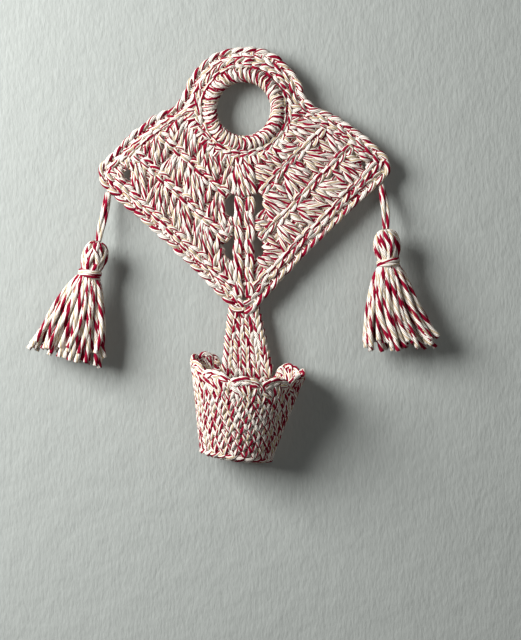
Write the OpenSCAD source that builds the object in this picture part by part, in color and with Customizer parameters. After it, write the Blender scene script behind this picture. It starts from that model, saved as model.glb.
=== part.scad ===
// Wall-hung crocheted plant pocket with a ring to hang it by and two tassels.
// The fabric hangs in the plane y = 0 and its face looks along -Y.
// The origin is the centre of the hanging hole, on the wall.

/* [Hanging ring] */
// Radius of the hole that slips over a peg
hole_r = 17; // [15:0.5:19]
// Radius of the hard ring's rod
core_r = 2.3; // [1.8:0.1:2.8]
// Thickness of the yarn wrapped over the rod
wrap_t = 2.7; // [2.2:0.1:3.2]
// Width of the row of knots round the wrapped ring
knot_row_w = 4.5; // [3.5:0.5:6]
// Thickness of the row of knots
knot_row_t = 6.5; // [5:0.5:8]

/* [Braided edge] */
// Width of the braided edge
edge_w = 9; // [8:0.5:9.5]
// Thickness of the braided edge at the top of a stitch
edge_t = 7; // [6:0.5:8]
// Length of one stitch of the braid
stitch = 7; // [6:0.5:8]
// Depth of the dip between two stitches of the braid
stitch_dip = 1.2; // [0.6:0.2:1.6]

/* [Panel] */
// Sideways distance from the hole to the middle of the left tip
left_tip_x = 80; // [76:1:84]
// Drop from the hole to the middle of the left tip
left_tip_drop = 42; // [38:1:46]
// Radius of the left tip
left_tip_r = 14; // [12:0.5:15]
// Sideways distance from the hole to the middle of the right tip
right_tip_x = 83; // [79:1:87]
// Drop from the hole to the middle of the right tip
right_tip_drop = 37; // [33:1:41]
// Radius of the right tip
right_tip_r = 12; // [11:0.5:14]
// Drop from the hole to the middle of the bottom point
bottom_drop = 123; // [118:1:128]
// Radius of the bottom point
bottom_r = 10; // [10:0.5:12]
// Angle above the hole's centre line at which the shoulders start
shoulder_angle = 8; // [4:1:14]
// How far the upper edges bow outwards
shoulder_bow = 3; // [0:0.5:5]
// How far the lower edges draw in
lower_draw = 2; // [0:0.5:4]
// Thickness of the fabric under the stitches
fabric_t = 4; // [3:0.5:5]

/* [Shell stitches] */
// Height of a row of shells
row_h = 20.5; // [18:0.5:22]
// Distance between two shells along a row
shell_pitch = 20; // [18:0.5:23]
// Radius of one post of a shell
post_r = 2.7; // [2.2:0.1:3.1]
// Width of the centre spine
spine_w = 16; // [13:0.5:18]
// Height of an eyelet beside the spine
eyelet_h = 12; // [8:0.5:14]
// Width of an eyelet beside the spine
eyelet_w = 6; // [4:0.5:7]
// Height of the hole in each tip
tip_hole_h = 9; // [6:0.5:10]
// Width of the hole in each tip
tip_hole_w = 5; // [4:0.5:6]

/* [Pocket] */
// Sideways place of the pocket's middle
pocket_x = 2; // [-3:0.5:6]
// Drop from the hole to the back of the pocket's mouth
pocket_drop = 172.5; // [165:0.5:180]
// How far the pocket leans clockwise, in degrees
pocket_lean = 8; // [0:1:12]
// How far the mouth dips towards the front, in degrees
mouth_dip = 14; // [4:1:18]
// Depth of the pocket from its mouth to its foot
pocket_h = 55; // [48:1:62]
// Width of the pocket at its mouth
mouth_w = 70; // [60:1:80]
// Width of the pocket above its base
foot_w = 48; // [40:1:56]
// Front to back size of the pocket at its mouth
mouth_depth = 46; // [38:1:54]
// Front to back size of the pocket above its base
foot_depth = 32; // [26:1:38]
// Thickness of the pocket's wall
wall_t = 4.5; // [3.5:0.5:5.5]
// Thickness of the pocket's base
base_t = 6; // [4:0.5:8]
// Rounds of stitches in the pocket's wall
rounds = 11; // [7:1:13]
// Height of the shells round the mouth
rim_h = 11; // [7:0.5:13]
// How far the shells round the mouth lean out
rim_flare = 2.5; // [1:0.5:4]
// Shells round the mouth
rim_shells = 9; // [7:1:12]

/* [Neck] */
// Width of the neck where it leaves the panel
neck_top_w = 20; // [16:1:24]
// Width of the neck where it meets the pocket
neck_foot_w = 34; // [28:1:40]
// Thickness of the neck
neck_t = 5; // [4:0.5:6]
// Radius of the yarn that sews the neck to the pocket
seam_r = 2; // [1.5:0.1:2.5]

/* [Tassels] */
// Radius of a tassel's cord
cord_r = 1.8; // [1.4:0.1:2]
// Length of a tassel from its cord to its hem
tassel_len = 78; // [70:1:86]
// Radius of a tassel's head
head_r = 9; // [7.5:0.5:9]
// Length of a tassel's head down to the middle of its binding
head_len = 22; // [19:0.5:25]
// Radius of a tassel's neck inside its binding
bound_r = 6; // [5:0.5:7]
// Turns of yarn in the binding
binding_turns = 3; // [2:1:4]
// Radius of the yarn in the binding
binding_r = 1.1; // [0.8:0.1:1.3]
// Half the width of a skirt at its hem
hem_half_w = 25; // [20:1:28]
// Half the thickness of a skirt at its hem
hem_half_t = 9; // [6:0.5:9]
// How far the left tassel leans out, in degrees
left_lean = 15; // [5:1:20]
// How far the right tassel leans out, in degrees
right_lean = 4; // [0:1:12]
// Clearance round the knots that the cords and tassels turn on
knot_gap = 0.35; // [0.3:0.05:0.5]

/* [Hidden] */

cream = [0.90, 0.84, 0.76];
rose = [0.80, 0.45, 0.48];
straw = [0.85, 0.76, 0.62];
bone = [0.93, 0.92, 0.88];

ring_mid_r = hole_r + wrap_t + core_r;
ring_t = 2 * (core_r + wrap_t);
wrap_out_r = ring_mid_r + core_r + wrap_t;
collar_in_r = wrap_out_r + knot_row_w;
collar_r = collar_in_r + edge_w;
left_tip = [left_tip_x, -left_tip_drop];
right_tip = [right_tip_x, -right_tip_drop];
bottom = [0, -bottom_drop];
shoulder = collar_r * [cos(shoulder_angle), sin(shoulder_angle)];
post_y = -(fabric_t + 0.4 * post_r);
relief_t = fabric_t + 2 * post_r;
// Rows of shells on each side, and how far each starts along the one before, in shells
rows = 3;
row_shift = 0.35;
// Places of the middle of a tip's hole and of an eyelet, from the tip's middle and from the spine's
tip_hole_in = tip_hole_w;
eyelet_x = spine_w / 2 + eyelet_w / 12;
// How far the dips between two rounds of the pocket lie under its swell
round_dip = 0.7;
// Points round the plan of the pocket
plan_steps = 28;
// Gap between the neck and each end of the shells round the mouth
rim_gap = 2;
// Difference in length among the strands of a skirt
hem_rag = 6;
// Longer than the whole object
tall = 400;

// Places where the cords leave the tips, as an angle round each tip
left_tie_angle = 302;
right_tie_angle = 299;
knot_r = 4 / 3 * cord_r;
tie_out = 0.5;
tie_y = -edge_t / 2;
// Routes of the two cords, as steps from the place where each leaves its tip
left_route = [[0, 0, 0], [-0.7, -0.6, -4], [-1.5, -1.3, -8], [-2.4, -2.2, -12], [-3.3, -3.1, -16],
    [-4.1, -4.0, -20], [-4.8, -4.9, -24], [-5.4, -5.6, -28], [-5.9, -6.0, -31.5]];
right_route = [[0, 0, 0], [0.5, -0.6, -4], [1.0, -1.3, -8], [1.5, -2.2, -12], [1.9, -3.1, -16],
    [2.3, -4.0, -20], [2.5, -4.9, -24], [2.6, -5.7, -28], [2.6, -6.0, -30]];

// Plane geometry of the panel, worked on a side whose x runs outwards
function turn(v) = [v[1], -v[0]];
function dir(a) = [cos(a), sin(a)];
function angle_of(v) = atan2(v[1], v[0]);
function upper_angle(tip, r) =
    let (v = shoulder - tip) angle_of(v) - acos(r / norm(v));
function lower_angle(tip, r) =
    let (v = tip - bottom) angle_of(v) - acos((bottom_r - r) / norm(v));
// Start of the upper edge, where it leaves the braid over the ring
function junction(tip, r, d) =
    let (n = dir(upper_angle(tip, r)), out = shoulder * n - d)
    n * out + turn(n) * sqrt(pow(collar_r - d, 2) - out * out);
function bowed(a, b, n, bow, steps) =
    [for (i = [0 : steps - 1]) let (t = i / steps) a + (b - a) * t + n * bow * sin(180 * t)];
function arc(c, r, a0, a1, steps) =
    [for (i = [0 : steps]) c + r * dir(a0 + (a1 - a0) * i / steps)];
function steps_for(len) = max(2, 2 * round(len / stitch));
// Outline of one side from the shoulder to the bottom point, drawn in by d
function side_path(tip, r, d) =
    let (
        up = upper_angle(tip, r), low = lower_angle(tip, r),
        start = junction(tip, r, d),
        meet = tip + (r - d) * dir(up),
        leave = tip + (r - d) * dir(low),
        land = bottom + (bottom_r - d) * dir(low),
        upper_len = norm(tip + r * dir(up) - junction(tip, r, 0)),
        lower_len = norm(tip - bottom)
    )
    concat(
        bowed(start, meet, dir(up), shoulder_bow, steps_for(upper_len)),
        arc(tip, r - d, up, low, steps_for(r * PI * (up - low) / 180)),
        [for (i = [1 : steps_for(lower_len) - 1]) let (t = i / steps_for(lower_len))
            leave + (land - leave) * t - dir(low) * lower_draw * sin(180 * t)],
        arc(bottom, bottom_r - d, low, -90, 4)
    );
function flip(path, side) = [for (p = path) [side * p[0], p[1]]];
function backwards(path) = [for (i = [len(path) - 1 : -1 : 0]) path[i]];
function tip_of(side) = side < 0 ? left_tip : right_tip;
function tip_r_of(side) = side < 0 ? left_tip_r : right_tip_r;
function panel_path(side, d) = flip(side_path(tip_of(side), tip_r_of(side), d), side);

// Closed tube through rings of equal count, with flat or fanned ends
module loft(rings) {
    n = len(rings[0]);
    m = len(rings);
    points = [for (ring = rings) each ring];
    sides = [for (j = [0 : m - 2]) for (i = [0 : n - 1]) let (k = (i + 1) % n)
        each [[j * n + i, j * n + k, (j + 1) * n + k], [j * n + i, (j + 1) * n + k, (j + 1) * n + i]]];
    first = [for (i = [1 : n - 2]) [0, i + 1, i]];
    last = [for (i = [1 : n - 2]) [(m - 1) * n, (m - 1) * n + i, (m - 1) * n + i + 1]];
    polyhedron(points, concat(sides, first, last), convexity = 8);
}

// Braid between two paths that keep step, with a groove down its middle
module braid(outer, inner) {
    // Shares of the braid's width, each with its share of the thickness
    section = [[0, 0], [0, 0.55], [0.22, 1], [0.5, 0.8], [0.78, 1], [1, 0.55], [1, 0]];
    loft([for (i = [0 : len(outer) - 1])
        let (
            a = inner[i], b = outer[i], high = i % 2 == 1 ? 0 : stitch_dip,
            swell = (b - a) * (i % 2 == 1 || i == 0 || i == len(outer) - 1 ? 0 : -0.05)
        )
        [for (s = section)
            let (p = a + (b - a) * s[0] + swell * s[0], h = s[1] * edge_t - (s[1] > 0.7 ? high : 0))
            [p[0], -h, p[1]]]]);
}

module plate(t) {
    rotate([90, 0, 0]) linear_extrude(t, convexity = 8) children();
}

// Revolves a profile of radius and depth round the hole's axis
module around_hole() {
    rotate([90, 0, 0]) rotate_extrude($fn = 96) children();
}

module ring_core() {
    color(bone) around_hole() translate([ring_mid_r, ring_t / 2]) circle(core_r, $fn = 48);
}

module ring_wrap() {
    bevel = 0.6 * wrap_t;
    color(cream) difference() {
        around_hole() polygon([[hole_r, 0], [wrap_out_r, 0], [wrap_out_r, ring_t - bevel],
            [wrap_out_r - 0.4 * bevel, ring_t - 0.4 * bevel], [wrap_out_r - bevel, ring_t],
            [hole_r + bevel, ring_t], [hole_r + 0.4 * bevel, ring_t - 0.4 * bevel],
            [hole_r, ring_t - bevel]]);
        around_hole() translate([ring_mid_r, ring_t / 2]) circle(core_r, $fn = 48);
    }
}

module ring_knot_row() {
    // The braid's inner side is a run of chords, so the row stops where they come nearest
    steps = steps_for(PI * collar_r);
    out_r = collar_in_r * cos(100 / steps);
    bevel = 0.15 * knot_row_t;
    color(rose) around_hole() polygon([[wrap_out_r, 0], [out_r, 0], [out_r, knot_row_t - bevel],
        [out_r - bevel, knot_row_t], [wrap_out_r + bevel, knot_row_t],
        [wrap_out_r, knot_row_t - bevel]]);
}

module top_edge_braid() {
    steps = steps_for(PI * collar_r);
    function over(d) = let (
            a0 = angle_of(junction(right_tip, right_tip_r, d)),
            a1 = 180 - angle_of(junction(left_tip, left_tip_r, d))
        ) arc([0, 0], collar_r - d, a1, a0, steps);
    color(rose) braid(over(0), over(edge_w));
}

// Small knot's seat, cut where a cord leaves a tip
module tie_seat(side) {
    translate(tie_place(side)) sphere(knot_r + knot_gap, $fn = 32);
}

function tie_place(side) = let (
        a = side < 0 ? left_tie_angle : right_tie_angle,
        p = tip_of(side) + (tip_r_of(side) + tie_out) * dir(a)
    ) [side * p[0], tie_y, p[1]];

module side_edge_braid(side) {
    outer = panel_path(side, 0);
    inner = panel_path(side, edge_w);
    difference() {
        if (side > 0) braid(outer, inner);
        else braid(backwards(outer), backwards(inner));
        tie_seat(side);
    }
}

module left_edge_braid() {
    color(cream) side_edge_braid(-1);
}

module right_edge_braid() {
    color(cream) side_edge_braid(1);
}

// Everything on the ring's side of a line at distance d from one lower edge
module above_lower_line(side, d) {
    tip = tip_of(side);
    r = tip_r_of(side);
    n = dir(lower_angle(tip, r));
    p = tip + (r - d) * n;
    along = turn(n) * tall;
    polygon(flip([p - along, p + along, p + along - n * tall, p - along - n * tall], side));
}

// Fabric inside the braid on one side of the spine
module half_field(side) {
    difference() {
        intersection() {
            polygon(concat([[0, 0]], panel_path(side, edge_w)));
            translate([side > 0 ? spine_w / 2 : -tall - spine_w / 2, -tall]) square([tall, 2 * tall]);
        }
        circle(collar_in_r, $fn = 96);
    }
}

// Distance from the lower edge to the line that a row ends at
function row_depth(row) = edge_w + (rows - row) * row_h;

// Height at which the line between rows row and row + 1 meets the spine
function row_line_z(side, row) =
    let (tip = tip_of(side), r = tip_r_of(side), n = dir(lower_angle(tip, r)))
    (tip * n + r - row_depth(row) - n[0] * spine_w / 2) / n[1];

module eyelets() {
    for (row = [1 : rows - 1], side = [-1, 1])
        translate([side * eyelet_x, row_line_z(side, row)])
            scale([eyelet_w / eyelet_h, 1]) circle(eyelet_h / 2, $fn = 16);
}

module tip_hole(side) {
    tip = tip_of(side);
    translate([side * (tip[0] - tip_hole_in), tip[1]]) rotate(side * 20)
        scale([tip_hole_w / tip_hole_h, 1]) circle(tip_hole_h / 2, $fn = 16);
}

// One row between two lines that run along the lower edge; the last lies against the braid
module row_field(side, row) {
    d = row_depth(row);
    difference() {
        intersection() {
            half_field(side);
            above_lower_line(side, row == rows ? 0 : d);
        }
        if (row > 1) above_lower_line(side, d + row_h);
        eyelets();
        tip_hole(side);
    }
}

// One puffed strand of a stitch, from its root a to its head b
module post(a, b) {
    hull() {
        translate([a[0], post_y, a[1]]) rotate([25, 0, 10]) sphere(0.8 * post_r, $fn = 6);
        translate([b[0], post_y, b[1]]) rotate([25, 0, 10]) sphere(post_r, $fn = 6);
    }
}

// Fans of three posts, gathered on the ring's side and spread towards the lower edge
module shells(side, row) {
    tip = tip_of(side);
    n = dir(lower_angle(tip, tip_r_of(side)));
    base = tip + (tip_r_of(side) - row_depth(row)) * n;
    shells = ceil(norm(tip - bottom) / shell_pitch);
    for (j = [0 : shells - 1], k = [-1, 0, 1]) {
        run = (j + row_shift * (row - 2) + 0.1) * shell_pitch;
        foot = base - n * (row_h - 1.3 * post_r) + turn(n) * (run + 0.8 * post_r * k);
        head = base - n * 1.1 * post_r + turn(n) * (run + 0.3 * shell_pitch * k);
        post([side * foot[0], foot[1]], [side * head[0], head[1]]);
    }
}

module shell_row(side, row) {
    plate(fabric_t) row_field(side, row);
    intersection() {
        shells(side, row);
        plate(relief_t) row_field(side, row);
    }
}

module left_shell_row_1() {
    color(cream) shell_row(-1, 1);
}

module left_shell_row_2() {
    color(rose) shell_row(-1, 2);
}

module left_shell_row_3() {
    color(cream) shell_row(-1, 3);
}

module right_shell_row_1() {
    color(cream) shell_row(1, 1);
}

module right_shell_row_2() {
    color(rose) shell_row(1, 2);
}

module right_shell_row_3() {
    color(cream) shell_row(1, 3);
}

module spine_field() {
    difference() {
        intersection() {
            polygon(concat(panel_path(1, edge_w), backwards(panel_path(-1, edge_w))));
            translate([-spine_w / 2, -tall]) square([spine_w, tall]);
        }
        circle(collar_in_r, $fn = 96);
        eyelets();
    }
}

// Fan of three posts that fills the corner of the first row under the ring
module corner_fan() {
    foot_z = -collar_in_r - 1.3 * post_r;
    for (k = [-1, 0, 1])
        post([0.8 * post_r * k, foot_z], [0.3 * spine_w * k, row_line_z(1, 1) + post_r]);
}

// Two chain pillars below the fan, whose links are pairs of strands that close towards their foot
module pillars() {
    pillar_len = bottom_drop + row_line_z(1, 1);
    links = floor(pillar_len / 2 / stitch);
    for (i = [0 : links - 1], side = [-1, 1], lean = [-1, 1]) {
        z = row_line_z(1, 1) - (i + 0.5) * pillar_len / links;
        x = side * spine_w / 4;
        post([x + lean * 0.15 * spine_w, z + 0.6 * stitch], [x + lean * 0.05 * spine_w, z - 0.5 * stitch]);
    }
}

module centre_spine() {
    color(rose) {
        plate(fabric_t) spine_field();
        intersection() {
            union() {
                corner_fan();
                pillars();
            }
            plate(relief_t) spine_field();
        }
    }
}

// The pocket's own frame, whose origin is the back of its mouth
module pocket_place() {
    translate([pocket_x, 0, -pocket_drop]) rotate([0, pocket_lean, 0]) children();
}

// Plan of the pocket: a quarter of its depth behind the widest line, the rest in front
function plan(half_w, depth, inset, a) = let (s = sin(a))
    [(half_w - inset) * cos(a), -depth / 4 + ((s > 0 ? depth / 4 : 3 * depth / 4) - inset) * s];
function level(v, lo, hi) = lo + (hi - lo) * v;
function pocket_point(v, inset, a) = let (
        p = plan(level(v, foot_w, mouth_w) / 2, level(v, foot_depth, mouth_depth), inset, a),
        top = p[1] * tan(mouth_dip)
    ) [p[0], p[1], level(v, base_t - pocket_h, top)];
function pocket_ring(v, inset) =
    [for (i = [0 : plan_steps - 1]) pocket_point(v, inset, 360 * i / plan_steps)];

// Rounds of stitches swell on the outside; the inside is plain
module pocket_wall() {
    outside = [for (k = [0 : 2 * rounds]) pocket_ring(k / (2 * rounds), k % 2 == 1 ? 0 : round_dip)];
    inside = [for (k = [4 : -1 : 0]) pocket_ring(k / 4, wall_t)];
    n = plan_steps;
    rings = concat(outside, inside);
    m = len(rings);
    color(cream) pocket_place() polyhedron([for (ring = rings) each ring],
        [for (j = [0 : m - 1]) for (i = [0 : n - 1]) let (k = (i + 1) % n, u = (j + 1) % m)
            each [[j * n + i, u * n + k, j * n + k], [j * n + i, u * n + i, u * n + k]]],
        convexity = 8);
}

module pocket_base() {
    // Heights as shares of the base's thickness, each with how far the base draws in there
    levels = [[1, round_dip], [0.55, round_dip], [0.2, 0.43 * base_t], [0, 1.08 * base_t]];
    color(rose) pocket_place() loft([for (s = levels)
        [for (i = [0 : plan_steps - 1])
            let (p = plan(foot_w / 2, foot_depth, s[1], 360 * i / plan_steps))
            [p[0], p[1], s[0] * base_t - pocket_h]]]);
}

// Point at a height over the mouth's plane, drawn in by inset
function mouth_point(inset, a, height) = let (p = plan(mouth_w / 2, mouth_depth, inset, a))
    [p[0], p[1], p[1] * tan(mouth_dip) + height];

// Shells round the mouth, open at the back where the neck stands on the wall
module pocket_rim() {
    first = acos((neck_foot_w / 2 + rim_gap) / (mouth_w / 2)) - rim_gap;
    sweep = 180 + 2 * first;
    steps = 6 * rim_shells;
    lip = wall_t / 3;
    color(cream) pocket_place() loft([for (i = [0 : steps])
        let (
            a = first - sweep * i / steps,
            top = rim_h * (0.55 + 0.45 * abs(sin(180 * rim_shells * i / steps)))
        )
        [mouth_point(wall_t, a, 0), mouth_point(wall_t - rim_flare, a, top - lip),
            mouth_point(wall_t / 2 - rim_flare, a, top), mouth_point(-rim_flare, a, top - lip),
            mouth_point(round_dip, a, 0)]]);
}

// Everything below the plane of the pocket's mouth
module below_mouth() {
    pocket_place() rotate([mouth_dip, 0, 0]) translate([-tall / 2, -tall / 2, -tall])
        cube([tall, tall, tall]);
}

module neck() {
    color(straw) difference() {
        plate(neck_t) difference() {
            polygon([[-neck_top_w / 2, -bottom_drop], [neck_top_w / 2, -bottom_drop],
                [pocket_x + neck_foot_w / 2, -pocket_drop],
                [pocket_x + neck_foot_w / 2, -pocket_drop - rim_h],
                [pocket_x - neck_foot_w / 2, -pocket_drop - rim_h],
                [pocket_x - neck_foot_w / 2, -pocket_drop]]);
            polygon(concat(panel_path(1, 0), backwards(panel_path(-1, 0))));
        }
        below_mouth();
    }
}

module neck_seam() {
    seam_len = neck_foot_w - 3 * seam_r;
    color(rose) difference() {
        pocket_place() translate([-seam_len / 2, -neck_t, 0]) rotate([0, 90, 0])
            cylinder(seam_len, r = seam_r, $fn = 32);
        translate([-tall / 2, -neck_t, -tall]) cube([tall, tall, tall]);
        below_mouth();
    }
}

// Round tube of radius r through a route, with a knot at each end
module cord(route, place) {
    sides = 8;
    n = len(route);
    color(cream) translate(place) {
        loft([for (j = [0 : n - 1])
            let (
                ahead = route[min(j + 1, n - 1)] - route[max(j - 1, 0)],
                t = ahead / norm(ahead),
                u = cross([0, 1, 0], t) / norm(cross([0, 1, 0], t)),
                v = cross(t, u)
            )
            [for (i = [0 : sides - 1]) let (a = 360 * i / sides)
                route[j] + cord_r * (cos(a) * u - sin(a) * v)]]);
        translate(route[0]) sphere(knot_r, $fn = 32);
        translate(route[n - 1]) sphere(knot_r, $fn = 32);
    }
}

module left_cord() {
    cord(left_route, tie_place(-1));
}

module right_cord() {
    cord(right_route, tie_place(1));
}

module tassel_place(side) {
    route = side < 0 ? left_route : right_route;
    lean = side < 0 ? left_lean : -right_lean;
    translate(tie_place(side) + route[len(route) - 1]) rotate([0, lean, 0]) children();
}

// Ring of a tassel, fluted as its strands are, whose points reach down unevenly by up to rag
function fluted(half_w, half_t, z, flutes, depth, steps, rag) =
    [for (i = [0 : steps - 1]) let (a = 360 * i / steps, f = 1 - depth * pow(sin(flutes * a / 2), 2))
        [half_w * f * cos(a), half_t * f * sin(a), z - rag * (0.5 + 0.5 * sin(5 * a + 40) * cos(3 * a))]];

// Folded loops of yarn, gathered above the binding, with a seat for the cord's knot
module tassel_head(side) {
    top = head_r / 10;
    // Shares of the head's radius, each with its share of the head's length
    stages = [[0.36, 0], [0.7, 0.1], [0.94, 0.28], [1, 0.5], [0.87, 0.72]];
    color(cream) tassel_place(side) difference() {
        loft(backwards(concat(
            [for (s = stages) fluted(head_r * s[0], head_r * s[0],
                -level(s[1], top, head_len), 16, 0.08, 24, 0)],
            [fluted(bound_r, bound_r, -(head_len - binding_turns * binding_r), 16, 0, 24, 0),
                fluted(bound_r, bound_r, -head_len, 16, 0, 24, 0)]
        )));
        sphere(knot_r + knot_gap, $fn = 32);
    }
}

module tassel_binding(side) {
    color(rose) tassel_place(side) translate([0, 0, -head_len])
        rotate_extrude($fn = 48) difference() {
            for (i = [0 : binding_turns - 1])
                translate([bound_r + 0.6 * binding_r, (2 * i + 1 - binding_turns) * 0.9 * binding_r])
                    circle(binding_r, $fn = 24);
            translate([0, -head_len]) square([bound_r, 2 * head_len]);
        }
}

module tassel_skirt(side) {
    neck_end = head_len + binding_turns * binding_r;
    // Shares of the skirt's length, each with its share of the spread
    stages = [[0.12, 0.1], [0.3, 0.32], [0.55, 0.62], [0.8, 0.86], [1, 1]];
    color(cream) tassel_place(side) loft(backwards(concat(
        [for (z = [head_len, neck_end]) fluted(bound_r, bound_r, -z, 16, 0, 48, 0)],
        [for (s = stages) fluted(level(s[1], bound_r, hem_half_w), level(s[1], bound_r, hem_half_t),
            -level(s[0], neck_end, tassel_len - hem_rag * 2 / 3), 16, 0.14, 48,
            s[0] == 1 ? hem_rag : 0)]
    )));
}

module left_tassel_head() {
    tassel_head(-1);
}

module left_tassel_binding() {
    tassel_binding(-1);
}

module left_tassel_skirt() {
    tassel_skirt(-1);
}

module right_tassel_head() {
    tassel_head(1);
}

module right_tassel_binding() {
    tassel_binding(1);
}

module right_tassel_skirt() {
    tassel_skirt(1);
}

ring_core();
ring_wrap();
ring_knot_row();
top_edge_braid();
left_edge_braid();
right_edge_braid();
left_shell_row_1();
left_shell_row_2();
left_shell_row_3();
right_shell_row_1();
right_shell_row_2();
right_shell_row_3();
centre_spine();
neck();
neck_seam();
pocket_wall();
pocket_base();
pocket_rim();
left_cord();
left_tassel_head();
left_tassel_binding();
left_tassel_skirt();
right_cord();
right_tassel_head();
right_tassel_binding();
right_tassel_skirt();
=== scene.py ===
"""Looks of a crocheted wall pocket: every strand is spun along the route that it takes in the work.

Lengths in the classes are millimetres, and `MM` turns them into the frame's metres.
The panel lies against the wall in the plane y = 0 and its face looks along -Y.
A plane point has x outwards or to the right, and y upwards.
"""

import logging
import math
import random
from bisect import bisect_left
from collections.abc import Callable
from dataclasses import dataclass, field
from enum import Enum
from itertools import accumulate

import bmesh
import bpy
from mathutils import Matrix, Vector


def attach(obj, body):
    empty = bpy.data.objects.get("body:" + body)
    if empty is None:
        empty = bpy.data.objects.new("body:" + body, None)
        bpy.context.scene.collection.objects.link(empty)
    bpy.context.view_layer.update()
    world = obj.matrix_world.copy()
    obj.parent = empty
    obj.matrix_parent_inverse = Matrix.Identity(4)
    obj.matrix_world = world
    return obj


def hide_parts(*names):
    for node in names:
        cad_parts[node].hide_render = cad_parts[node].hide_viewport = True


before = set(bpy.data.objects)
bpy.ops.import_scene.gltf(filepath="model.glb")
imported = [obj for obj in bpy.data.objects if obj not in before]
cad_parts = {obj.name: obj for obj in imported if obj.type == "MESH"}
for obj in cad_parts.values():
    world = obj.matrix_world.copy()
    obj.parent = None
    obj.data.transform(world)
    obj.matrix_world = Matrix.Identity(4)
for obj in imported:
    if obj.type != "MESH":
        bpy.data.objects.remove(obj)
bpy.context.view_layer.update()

MM = 0.001
TURN = 2 * math.pi
PLIES = 9
ROUND_STEPS = 48
YARN_SLOT = "marled_yarn"
TASSEL_SLOT = "tassel_yarn"
Colour = tuple[float, float, float, float]
Pair = tuple[float, float]
log = logging.getLogger("holder")


class Body(Enum):
    """The bodies that pieces ride on."""

    PANEL = "panel"
    LEFT_CORD = "left_cord"
    LEFT_TASSEL = "left_tassel"
    RIGHT_CORD = "right_cord"
    RIGHT_TASSEL = "right_tassel"


class Face(Enum):
    """The two faces of the fabric, as the sign of a stitch's height over the middle."""

    FRONT = 1
    BACK = -1


class Layer(Enum):
    """How a strand lies in the work; the material paints shade by it, nearly black on deep strands and darker
    towards the ends of tucked ones.
    """

    PLAIN = 0
    TUCKED = 1
    DEEP = 2


def srgb(*channels: int) -> Colour:
    """Turns a screen's colour, with channels from 0 to 255, into the linear values that shaders take."""
    parts = [value / 255 for value in channels]
    return (*(p / 12.92 if p <= 0.04045 else ((p + 0.055) / 1.055) ** 2.4 for p in parts), 1.0)


def shares(steps: int) -> list[float]:
    """Gives the shares from 0 to 1 in even steps."""
    return [step / steps for step in range(steps + 1)]


def heading(angle: float) -> Vector:
    """Gives the plane's unit vector at an angle in degrees."""
    return Vector((math.cos(math.radians(angle)), math.sin(math.radians(angle))))


def angle_of(v: Vector) -> float:
    """Gives a plane vector's angle in degrees."""
    return math.degrees(math.atan2(v.y, v.x))


def lifted(point: Vector, height: float) -> Vector:
    """Gives a plane point's place in the frame, at a height over the wall."""
    return Vector((point.x, -height, point.y))


def side_name(side: int) -> str:
    """Gives the name of a side, which is -1 on the left and 1 on the right."""
    return "left" if side < 0 else "right"


def put(name: str, data: bpy.types.ID) -> bpy.types.Object:
    """Puts data into the scene.

    Args:
        name: The object's name.
        data: What it shows.

    Returns:
        The object.
    """
    made = bpy.data.objects.new(name, data)
    bpy.context.scene.collection.objects.link(made)
    return made


def stretches(held: list[bool]) -> list[tuple[int, int]]:
    """Finds the runs of true values.

    Args:
        held: The values.

    Returns:
        The first index of each run and the first one after it.
    """
    found = []
    begin = None
    for index, value in enumerate(held + [False]):
        if value and begin is None:
            begin = index
        if not value and begin is not None:
            found.append((begin, index))
            begin = None
    return found


def math_node(operation: str, swapped: bool = False) -> Callable[..., "Socket"]:
    """Gives a method of sockets that adds one Math node.

    Args:
        operation: What the node works out.
        swapped: Whether its two values change places.

    Returns:
        The method.
    """
    def method(self: "Socket", other: object = 0.0) -> "Socket":
        """Adds the node."""
        first, second = (other, self) if swapped else (self, other)
        return self.shader.node("Math", {"operation": operation}, {0: first, 1: second})[0]

    return method


class Socket:
    """A number inside a material, on which Python's operators add Math nodes."""

    __add__ = math_node("ADD")
    __sub__ = math_node("SUBTRACT")
    __rsub__ = math_node("SUBTRACT", swapped=True)
    __mul__ = math_node("MULTIPLY")
    __pow__ = math_node("POWER")
    __gt__ = math_node("GREATER_THAN")
    fraction = math_node("FRACT")
    size = math_node("ABSOLUTE")

    def __init__(self, shader: "Shader", link: bpy.types.NodeSocket) -> None:
        """Wraps an output socket of a shader's node tree."""
        self.shader = shader
        self.link = link


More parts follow.
